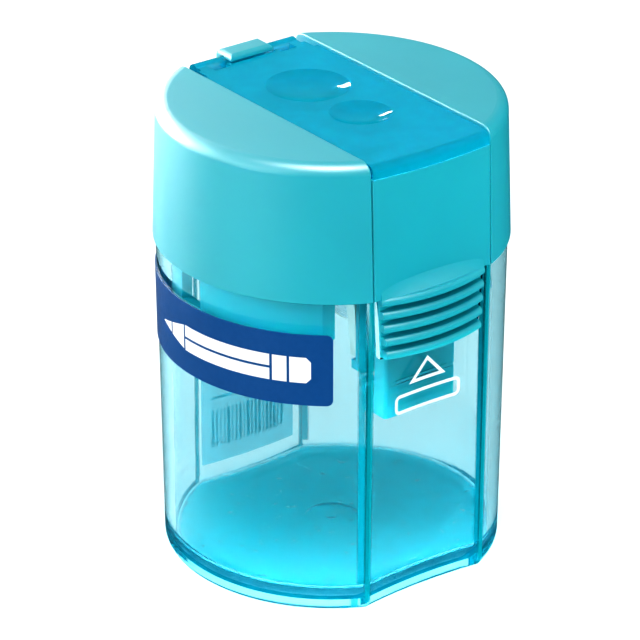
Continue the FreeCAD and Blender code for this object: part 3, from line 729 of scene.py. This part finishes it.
class SHARPENER_OT_back_label(bpy.types.Operator):
    """Finish the pale back label and lay plain bars and rules on it"""

    bl_idname = "sharpener.back_label"
    bl_label = "Back label"

    def execute(self, context):
        colours, sizes = context.scene.sharpener_colours, context.scene.sharpener_sizes
        film = printed_film("Label pale film", colours.label_pale, roughness=0.35, see_through=0.55)
        finish_node("back_label", film)
        grey = printed_film("Grey ink", colours.ink_grey, roughness=0.5)
        bm = bar_film(sizes, grey)
        half = sizes.bar_pitch * (sizes.bar_count - 1) / 2
        foot = BACK_LABEL_LOW.z + LABEL_MARGIN
        bmesh.ops.translate(bm, verts=bm.verts, vec=(-half, 0, foot + sizes.bar_height / 2))
        for vert in bm.verts:
            vert.co.y = 0.0
        join_film(bm, flat_film(rule_outlines(foot + sizes.bar_height)))
        slice_up(bm, LABEL_SLICE)
        thicken(bm)
        lay_flat(bm, ground_of("back_label"), BACK, sizes)
        add_print("back_label_print", bm, grey)
        return {"FINISHED"}


class SHARPENER_OT_front_print(bpy.types.Operator):
    """Print the release mark on the tub's front: an outlined triangle over an outlined bar"""

    bl_idname = "sharpener.front_print"
    bl_label = "Front print"

    def execute(self, context):
        sizes = context.scene.sharpener_sizes
        ground = ground_of("tub")
        triangle = triangle_outlines(sizes.triangle_half_width, sizes.triangle_height, sizes.mark_line)
        bar = bar_outlines(sizes.bar_mark_width / 2, sizes.bar_mark_height, sizes.mark_line)
        for name, outlines, foot in (("front_triangle", triangle, sizes.triangle_foot),
                                     ("front_bar", bar, sizes.bar_mark_foot)):
            bm = flat_film(outlines)
            bmesh.ops.translate(bm, verts=bm.verts, vec=(sizes.mark_shift, 0, foot))
            slice_up(bm, FRONT_SLICE)
            thicken(bm)
            lay_flat(bm, ground, FRONT, sizes)
            add_print(name, bm, bpy.data.materials["White ink"])
        return {"FINISHED"}


# ---------------------------------------------------------------- stage

def aim(thing, target):
    """Turns a lamp or camera to face a point."""
    thing.rotation_mode = "QUATERNION"
    thing.rotation_quaternion = (Vector(target) - thing.location).to_track_quat("-Z", "Y")


def soft_box(name, place, target, size, power, unseen_by=()):
    """Rectangular light that faces a point; unseen_by lists the kinds of ray that miss it."""
    light = bpy.data.lights.new(name, "AREA")
    light.shape = "RECTANGLE"
    light.size, light.size_y = size
    light.energy = power
    thing = bpy.data.objects.new(name, light)
    thing.location = place
    bpy.context.scene.collection.objects.link(thing)
    aim(thing, target)
    for ray in unseen_by:
        setattr(thing, "visible_" + ray, False)


def studio_world(fill, sheen):
    """White surround for light, which gloss sees as a bright ceiling over a dim ground."""
    m = NodeMaker(bpy.data.worlds.new("Studio"), "ShaderNodeOutputWorld")
    height = m.split(m.node("ShaderNodeTexCoord").outputs["Generated"])["Z"]
    strength = m.spread(height, 0.06 * sheen, sheen, -0.05, 0.45)
    lit = m.node("ShaderNodeBackground", {"Color": WHITE, "Strength": fill}).outputs["Background"]
    mirrored = m.node("ShaderNodeBackground", {"Color": WHITE, "Strength": strength}).outputs["Background"]
    in_gloss = m.node("ShaderNodeLightPath").outputs["Is Glossy Ray"]
    return m.finish(m.mix_shaders(in_gloss, lit, mirrored))


def lay_floor(colour):
    """Pale floor under the tub, left out of reflections."""
    m = new_material("Pale floor")
    tone = m.ramp(m.noise(m.object_coordinates(), scale=3.0), [(0.3, colour), (0.7, darker(colour, 1.01))])
    bm = bmesh.new()
    bmesh.ops.create_grid(bm, x_segments=1, y_segments=1, size=FLOOR_REACH)
    bmesh.ops.translate(bm, verts=bm.verts, vec=(0.0, 0.0, TUB_LOW.z))
    mesh = bpy.data.meshes.new("floor")
    bm.to_mesh(mesh)
    bm.free()
    mesh.materials.append(m.finish(m.principled(Base_Color=tone, Roughness=0.75)))
    floor = bpy.data.objects.new("floor", mesh)
    bpy.context.scene.collection.objects.link(floor)
    floor.visible_glossy = False


def hang_lights(stage, middle, right, back):
    """Soft boxes that light the sharpener, and cards that only show in its gloss."""

    def seen(aside, nearer, higher):
        """Place to the right of the camera's line, nearer the camera and higher than the middle."""
        return middle + right * aside + back * nearer + UP * higher

    def set_out(x, y, z):
        """Place in the sharpener's own directions from the middle."""
        return middle + Vector((x, y, z))

    for name, place, size, power, unseen_by in (
            ("left soft box", seen(-0.50, -0.06, 0.16), (0.62, 0.42), stage.side_light, ()),
            ("top soft box", seen(-0.05, 0.0, 0.50), (0.5, 0.5), stage.top_light, ()),
            ("right strip", seen(0.40, -0.12, 0.06), (0.10, 0.40), stage.rim_light, ()),
            ("front card", set_out(-0.14, -0.58, 0.04), (0.5, 0.3), stage.front_light, LIGHT_ONLY),
            ("sheen card", seen(-0.30, -0.22, 0.18), (0.46, 0.30), stage.sheen_light, GLOSS_ONLY),
            ("side card", set_out(-0.42, -0.03, 0.07), (0.30, 0.30), stage.side_card, GLOSS_ONLY),
            ("sparkle card", set_out(0.16, 0.37, 0.19), (0.05, 0.05), stage.sparkle_light, GLOSS_ONLY),
            ("rim card", set_out(-0.128, -0.168, 0.453), (0.2, 0.2), stage.rim_card, GLOSS_ONLY)):
        soft_box(name, place, middle, size, power, unseen_by)


class SHARPENER_OT_stage(bpy.types.Operator):
    """Build the pale floor, the soft lights and the camera"""

    bl_idname = "sharpener.stage"
    bl_label = "Stage"

    def execute(self, context):
        scene = context.scene
        stage = scene.sharpener_stage
        lay_floor(scene.sharpener_colours.floor)
        scene.world = studio_world(stage.fill, stage.sheen)

        azimuth, elevation = stage.azimuth, stage.elevation
        back = Vector((math.sin(azimuth) * math.cos(elevation), -math.cos(azimuth) * math.cos(elevation),
                       math.sin(elevation)))
        right = Vector((math.cos(azimuth), math.sin(azimuth), 0.0))
        middle = UP * stage.aim_height
        hang_lights(stage, middle, right, back)

        camera = bpy.data.objects.new("camera", bpy.data.cameras.new("camera"))
        camera.data.lens = stage.lens
        camera.data.sensor_width = 36.0
        camera.location = middle + back * stage.distance
        scene.collection.objects.link(camera)
        aim(camera, middle - right * stage.aim_left)
        scene.camera = camera
        scene.view_settings.view_transform = "Standard"
        scene.view_settings.look = "High Contrast"
        return {"FINISHED"}


# ---------------------------------------------------------------- panel and registration

STEPS = (SHARPENER_OT_tub, SHARPENER_OT_head, SHARPENER_OT_lid, SHARPENER_OT_cutters,
         SHARPENER_OT_side_label, SHARPENER_OT_back_label, SHARPENER_OT_front_print, SHARPENER_OT_stage)
GROUPS = (("sharpener_colours", SHARPENER_PG_colours), ("sharpener_sizes", SHARPENER_PG_sizes),
          ("sharpener_stage", SHARPENER_PG_stage))


class SHARPENER_PT_panel(bpy.types.Panel):
    """Settings and build steps of the sharpener"""

    bl_idname = "SHARPENER_PT_panel"
    bl_label = "Pencil sharpener"
    bl_space_type = "VIEW_3D"
    bl_region_type = "UI"
    bl_category = "Sharpener"

    def draw(self, context):
        for group, kind in GROUPS:
            box = self.layout.box()
            for name in kind.__annotations__:
                box.prop(getattr(context.scene, group), name)
        for step in STEPS:
            self.layout.operator(step.bl_idname)


def register():
    """Adds the settings, the operators and the panel."""
    for group, kind in GROUPS:
        bpy.utils.register_class(kind)
        setattr(bpy.types.Scene, group, bpy.props.PointerProperty(type=kind))
    for kind in (*STEPS, SHARPENER_PT_panel):
        bpy.utils.register_class(kind)


def unregister():
    """Takes them away again."""
    for kind in reversed((*STEPS, SHARPENER_PT_panel)):
        bpy.utils.unregister_class(kind)
    for group, kind in reversed(GROUPS):
        delattr(bpy.types.Scene, group)
        bpy.utils.unregister_class(kind)


def main():
    register()
    bpy.ops.sharpener.tub()
    bpy.ops.sharpener.head()
    bpy.ops.sharpener.lid()
    bpy.ops.sharpener.cutters()
    bpy.ops.sharpener.side_label()
    bpy.ops.sharpener.back_label()
    bpy.ops.sharpener.front_print()
    bpy.ops.sharpener.stage()


if __name__ == "__main__":
    main()
